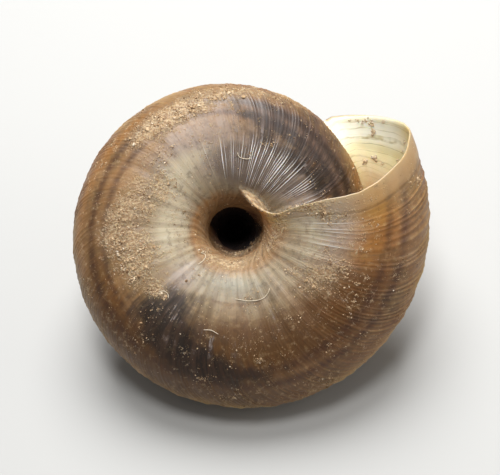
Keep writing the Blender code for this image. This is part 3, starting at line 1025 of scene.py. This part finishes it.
def on_ring(points, rings, theta, growth, across):
    """Point at a growth and a place across the whorl, in the part's frame, and the normal there."""
    at = min(range(len(rings)), key=lambda k: abs(math.degrees(theta[k] - LIP) - growth))
    at = min(max(at, 1), len(rings) - 2)
    column = min(int(across * COLUMNS), COLUMNS - 1)
    share = across * COLUMNS - column
    here, there, before, after = to_world([
        points[rings[at][column]], points[rings[at][column + 1]],
        points[rings[at - 1][column]], points[rings[at + 1][column]],
    ])
    normal = np.cross(after - before, there - here)
    return here + (there - here) * share, normal / np.linalg.norm(normal)


def crumbs_inside(rng, tube):
    """Places, normals and sizes of the crumbs in the mouth, each a small heap."""
    rings = [tube.inner[ring] for ring in tube.tube_rings]
    theta = tube.theta[tube.tube_rings]
    spots = [on_ring(tube.points, rings, theta, growth, across) for growth, across, _ in CRUMBS_INSIDE]
    places = np.repeat([spot[0] for spot in spots], CRUMB_PARTS, axis=0)
    normals = np.repeat([-spot[1] for spot in spots], CRUMB_PARTS, axis=0)
    sizes = np.repeat([size for *_, size in CRUMBS_INSIDE], CRUMB_PARTS)
    aside = rng.normal(0, CRUMB_SPREAD, places.shape) * sizes[:, None]
    aside -= normals * np.einsum("ni,ni->n", aside, normals)[:, None]
    return places + aside, normals, sizes * rng.uniform(*CRUMB_PART_SIZE, len(sizes))


def fibre_line(tube, path):
    """Places along a hair, with the ways across and up from the shell and the normals there."""
    line = through(np.array(path, float), FIBRE_STEPS)
    spots = [on_ring(tube.points, tube.outer, tube.theta, growth, across) for growth, across in line]
    places, normals = (np.array(column) for column in zip(*spots))
    for _ in range(FIBRE_SMOOTHED):
        places[1:-1] = (places[:-2] + places[1:-1] * 2 + places[2:]) / 4
    along = np.gradient(places, axis=0)
    along /= np.linalg.norm(along, axis=1)[:, None]
    across = np.cross(along, normals)
    across /= np.linalg.norm(across, axis=1)[:, None]
    return places, across, np.cross(across, along), normals


def fibre_mesh(tube):
    """Fine pale hairs lying on the shell."""
    verts, polygons = [], []
    angles = np.arange(FIBRE_SIDES) * FULL_TURN / FIBRE_SIDES
    for path in FIBRES:
        start = len(verts)
        places, across, up, normals = fibre_line(tube, path)
        last = len(places) - 1
        for k, place in enumerate(places):
            radius = FIBRE_RADIUS * (FIBRE_TIP if k in (0, last) else 1)
            middle = place + normals[k] * FIBRE_RADIUS * FIBRE_LIFT
            for angle in angles:
                around = across[k] * math.cos(angle) + up[k] * math.sin(angle)
                verts.append(middle + around * radius)
        rings = start + np.arange(len(verts) - start).reshape(-1, FIBRE_SIDES)
        for ring, following in zip(rings.tolist(), rings[1:].tolist()):
            for side in range(FIBRE_SIDES):
                a, b = side - 1, side
                polygons.append((ring[a], following[a], following[b], ring[b]))
        polygons.append(rings[0].tolist())
        polygons.append(rings[-1].tolist()[::-1])
    made = bpy.data.meshes.new("fibres")
    made.from_pydata(kept_in_box(verts).tolist(), [], polygons)
    made.shade_smooth()
    return made


def soil_material():
    soil = Shader("dried_soil")
    soil.color = soil.ramp(soil.attribute("tone"), SOIL_TONES)
    grit = soil.speckle(9000, 3, 0.6)
    soil.over(grit.rise(0.35, 0.65, 0.35, 0), (110, 78, 50))
    return soil.set_surface({"Base Color": soil.color, "Roughness": 0.85})


def make_soil(tube, shell):
    rng = np.random.default_rng(SOIL_SEED)
    points, normals, grain_share, crumb_share = soil_shares(shell)
    fine = strewn(rng, points, normals, grain_share, *SOIL_GRAINS)
    coarse = strewn(rng, points, normals, crumb_share, *SOIL_CRUMBS)
    coarse = [np.concatenate(pair) for pair in zip(coarse, crumbs_inside(rng, tube))]
    in_mouth = len(CRUMBS_INSIDE) * CRUMB_PARTS
    soil, hair = soil_material(), plain_material("fibre", (214, 200, 176), 0.5)
    meshes = (
        (grains("soil_grains", rng, OCTAHEDRON, *fine), soil),
        (grains("soil_crumbs", rng, icosahedron(), *coarse, in_mouth), soil),
        (fibre_mesh(tube), hair),
    )
    for mesh, material in meshes:
        piece = add_object(mesh.name, mesh)
        mesh.materials.append(material)
        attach(piece, "root")


def make_camera():
    lean_x, lean_y = (math.tan(math.radians(a)) for a in CAMERA_LEAN)
    back = Vector((lean_x, lean_y, 1)).normalized()
    up = (Vector((0, 1, 0)) - back * back.y).normalized()
    right = up.cross(back)
    off_x = (PHOTO_SIZE[0] / 2 - TIP_IN_PHOTO[0]) / RADIUS_IN_PHOTO
    off_y = (TIP_IN_PHOTO[1] - PHOTO_SIZE[1] / 2) / RADIUS_IN_PHOTO
    place = back * CAMERA_DISTANCE + right * off_x + up * off_y
    origin = to_world([(0, 0, 0)])[0]
    columns = [to_world([tuple(v)])[0] - origin for v in (right, up, back)]
    matrix = Matrix([list(np.array(c) / np.linalg.norm(c)) for c in columns]).transposed().to_4x4()
    matrix.translation = Vector(to_world([tuple(place)])[0])
    data = bpy.data.cameras.new("camera")
    data.sensor_width = SENSOR
    data.lens = RADIUS_IN_PHOTO * CAMERA_DISTANCE / PHOTO_SIZE[0] * SENSOR
    data.clip_start = 0.001
    camera = add_object("camera", data)
    camera.matrix_world = matrix
    bpy.context.scene.camera = camera


def make_floor():
    bpy.ops.mesh.primitive_plane_add(size=FLOOR_SIZE, location=(0, 0, 0))
    floor = bpy.context.object
    floor.name = "floor"
    floor.data.materials.append(plain_material("floor", FLOOR_SHADE, FLOOR_ROUGHNESS))


def make_lights():
    world = bpy.data.worlds.new("studio")
    world.use_nodes = True
    background = world.node_tree.nodes["Background"]
    background.inputs["Color"].default_value = (*SKY_COLOR, 1)
    background.inputs["Strength"].default_value = SKY_STRENGTH
    bpy.context.scene.world = world
    bpy.context.scene.view_settings.view_transform = "Standard"
    for name, place, size, power, color in LIGHTS:
        data = bpy.data.lights.new(name, "AREA")
        data.shape = "DISK"
        data.size = size
        data.energy = power
        data.color = color
        light = add_object(name, data)
        light.location = place
        light.rotation_euler = (-Vector(place)).to_track_quat("-Z", "Y").to_euler()


make_camera()
make_floor()
make_lights()
tube, shell = make_shell()
make_soil(tube, shell)
